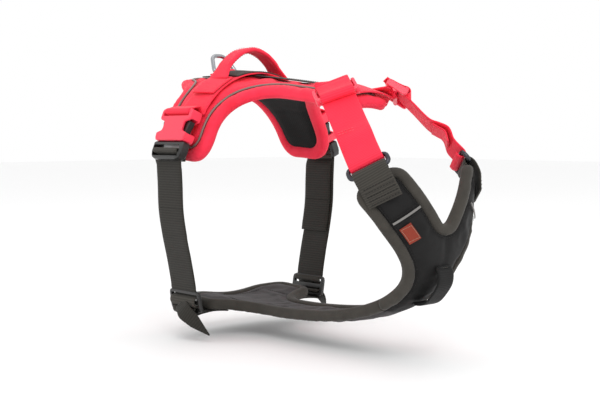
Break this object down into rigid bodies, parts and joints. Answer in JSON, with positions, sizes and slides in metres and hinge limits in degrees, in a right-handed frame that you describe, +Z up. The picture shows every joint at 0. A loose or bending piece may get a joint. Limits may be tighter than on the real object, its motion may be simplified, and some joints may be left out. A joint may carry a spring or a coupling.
{
  "type": "no pull harness",
  "caption": "Padded dog harness with a saddle, grab handle, leash ring, side-release girth buckles, belly pad, Y-shaped chest piece and adjustable neck straps.",
  "frame": {"origin": "middle of the saddle's underside, on the dog's backbone directly below the grab handle", "axes": "+Z up, +Y towards the dog's tail, +X towards the dog's left"},
  "size_m": [0.2136, 0.338, 0.275],
  "materials": {
    "coral_mesh": "bright coral woven mesh over foam",
    "coral_webbing": "bright coral woven webbing",
    "taupe_binding": "soft matt rolled binding",
    "charcoal_lining": "dark air-mesh lining",
    "foam": "open-cell foam core, hidden inside the pads",
    "belly_cover": "matt knitted cover",
    "chest_cover": "matt dark knitted cover",
    "dark_webbing": "ribbed dark grey webbing",
    "reflective_tape": "woven reflective tape",
    "coral_plastic": "glossy coral acetal",
    "dark_plastic": "dark acetal",
    "aluminium": "polished",
    "gunmetal": "satin gunmetal plating",
    "grey_patch": "plain woven patch with no lettering",
    "woven_label": "plain woven label with no lettering"
  },
  "bodies": {
    "harness": {"back_band": "coral_webbing", "belly_lining": "charcoal_lining", "belly_padding": "foam", "belly_rim": "taupe_binding", "belly_shell": "belly_cover", "chest_lining": "charcoal_lining", "chest_padding": "foam", "chest_rim": "taupe_binding", "chest_shell": "chest_cover", "front_loop": "dark_webbing", "left_belly_slider": "dark_plastic", "left_belly_tab": "dark_webbing", "left_belly_turn": "dark_webbing", "left_buckle_body": "coral_plastic", "left_chest_ring": "gunmetal", "left_chest_tab": "dark_webbing", "left_girth_strap": "dark_webbing", "left_girth_strap_upper": "dark_webbing", "left_girth_tail": "dark_webbing", "left_handle_foot": "coral_webbing", "left_neck_strap": "coral_webbing", "left_reflective_bar": "reflective_tape", "name_patch": "grey_patch", "neck_anchor": "coral_webbing", "reflective_piping": "reflective_tape", "right_belly_slider": "dark_plastic", "right_belly_tab": "dark_webbing", "right_belly_turn": "dark_webbing", "right_buckle_body": "coral_plastic", "right_chest_ring": "gunmetal", "right_chest_tab": "dark_webbing", "right_girth_strap": "dark_webbing", "right_girth_strap_upper": "dark_webbing", "right_girth_tail": "dark_webbing", "right_handle_foot": "coral_webbing", "right_neck_strap": "coral_webbing", "right_reflective_bar": "reflective_tape", "right_side_label": "woven_label", "ring_keeper": "coral_webbing", "saddle_lining": "charcoal_lining", "saddle_padding": "foam", "saddle_rim": "taupe_binding", "saddle_shell": "coral_mesh", "spine_strip": "dark_webbing"},
    "leash_ring": {"leash_ring": "aluminium"},
    "handle": {"handle": "coral_webbing"},
    "right_insert": {"right_buckle_insert": "dark_plastic", "right_buckle_turn": "dark_webbing"},
    "right_prong_rear": {"right_buckle_prong_rear": "dark_plastic"},
    "right_prong_front": {"right_buckle_prong_front": "dark_plastic"},
    "right_neck_slider": {"right_neck_slider": "coral_plastic", "right_slider_fold": "coral_webbing"},
    "left_insert": {"left_buckle_insert": "dark_plastic", "left_buckle_turn": "dark_webbing"},
    "left_prong_rear": {"left_buckle_prong_rear": "dark_plastic"},
    "left_prong_front": {"left_buckle_prong_front": "dark_plastic"},
    "left_neck_slider": {"left_neck_slider": "coral_plastic", "left_slider_fold": "coral_webbing"}
  },
  "joints": [
    {"name": "leash_ring_swing", "type": "hinge", "parent": "harness", "child": "leash_ring", "pos_m": [0, 0.037, 0.0156], "axis": [1, 0, 0], "range_deg": [-46, 100]},
    {"name": "handle_lean", "type": "hinge", "parent": "harness", "child": "handle", "pos_m": [0, 0, 0.012], "axis": [1, 0, 0], "range_deg": [-12, 12], "stiffness_Nm_per_rad": 0.03},
    {"name": "right_buckle_release", "type": "slide", "parent": "harness", "child": "right_insert", "axis": [-0.3827, 0, -0.9239], "range_m": [0, 0.024], "deforming": ["right_girth_strap_upper"]},
    {"name": "right_prong_rear_pinch", "type": "hinge", "parent": "right_insert", "child": "right_prong_rear", "pos_m": [-0.09553, 0.0165, -0.05586], "axis": [0.9239, 0, -0.3827], "range_deg": [0, 15]},
    {"name": "right_prong_front_pinch", "type": "hinge", "parent": "right_insert", "child": "right_prong_front", "pos_m": [-0.09553, -0.0175, -0.05586], "axis": [-0.9239, 0, 0.3827], "range_deg": [0, 15]},
    {"name": "left_buckle_release", "type": "slide", "parent": "harness", "child": "left_insert", "axis": [0.3827, 0, -0.9239], "range_m": [0, 0.024], "deforming": ["left_girth_strap_upper"]},
    {"name": "left_prong_rear_pinch", "type": "hinge", "parent": "left_insert", "child": "left_prong_rear", "pos_m": [0.09553, 0.0165, -0.05586], "axis": [0.9239, 0, 0.3827], "range_deg": [0, 15]},
    {"name": "left_prong_front_pinch", "type": "hinge", "parent": "left_insert", "child": "left_prong_front", "pos_m": [0.09553, -0.0175, -0.05586], "axis": [-0.9239, 0, -0.3827], "range_deg": [0, 15]},
    {"name": "right_neck_strap_adjust", "type": "slide", "parent": "harness", "child": "right_neck_slider", "axis": [-0.2716, -0.6745, -0.6865], "range_m": [0, 0.03]},
    {"name": "left_neck_strap_adjust", "type": "slide", "parent": "harness", "child": "left_neck_slider", "axis": [0.2716, -0.6745, -0.6865], "range_m": [0, 0.03]}
  ],
  "couplings": [
    {"joint": "right_prong_rear_pinch", "follows": "right_buckle_release", "rad_per_m": 10.901},
    {"joint": "right_prong_front_pinch", "follows": "right_buckle_release", "rad_per_m": 10.901},
    {"joint": "left_prong_rear_pinch", "follows": "left_buckle_release", "rad_per_m": 10.901},
    {"joint": "left_prong_front_pinch", "follows": "left_buckle_release", "rad_per_m": 10.901}
  ]
}
